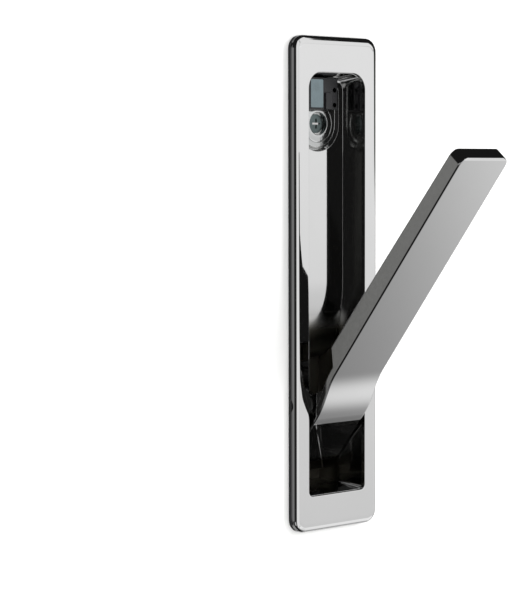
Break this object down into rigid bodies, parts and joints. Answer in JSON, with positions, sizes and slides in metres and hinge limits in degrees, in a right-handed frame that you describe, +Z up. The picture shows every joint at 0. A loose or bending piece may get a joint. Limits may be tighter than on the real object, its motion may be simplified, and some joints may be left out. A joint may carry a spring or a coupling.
{
  "type": "recessed folding clothes hook",
  "caption": "Flush, wall-mounted clothes valet: a chrome plate frames a recess from which a lever arm swings out on a pin to hold hangers.",
  "frame": {"origin": "on the wall's surface, at the middle of the panel cut-out and of the face plate", "axes": "+X to the right, +Z up, -Y out of the wall towards the room"},
  "size_m": [0.0406, 0.1009, 0.18],
  "materials": {
    "chrome": "bright chrome plating over a zinc casting",
    "housing_chrome": "chrome plating inside the recess, slightly duller",
    "zinc": "zinc plated steel",
    "steel": "plain turned steel",
    "nickel": "nickel plated, slightly bluish",
    "black_plastic": "black moulded plastic",
    "rubber": "black rubber",
    "nylon": "black nylon"
  },
  "bodies": {
    "recess_frame": {"face_plate": "chrome", "recess_housing": "housing_chrome", "wall_gasket": "rubber", "plate_screws": "zinc", "pivot_pin": "steel", "retaining_clips": "steel", "thrust_washer_left": "nylon", "thrust_washer_right": "nylon", "fixing_plate": "zinc", "screw_cup": "zinc", "fixing_screw": "zinc", "catch_holder": "black_plastic", "catch_magnet": "nickel", "catch_rivets": "steel", "stop_buffer": "rubber"},
    "lever_arm": {"lever": "chrome", "ear_bush_left": "nylon", "ear_bush_right": "nylon", "strike_plate": "nickel", "strike_rivets": "steel"}
  },
  "joints": [
    {"name": "lever_hinge", "type": "hinge", "parent": "recess_frame", "child": "lever_arm", "pos_m": [0, 0.0001, -0.0434], "axis": [1, 0, 0], "range_deg": [-40, 0]}
  ]
}
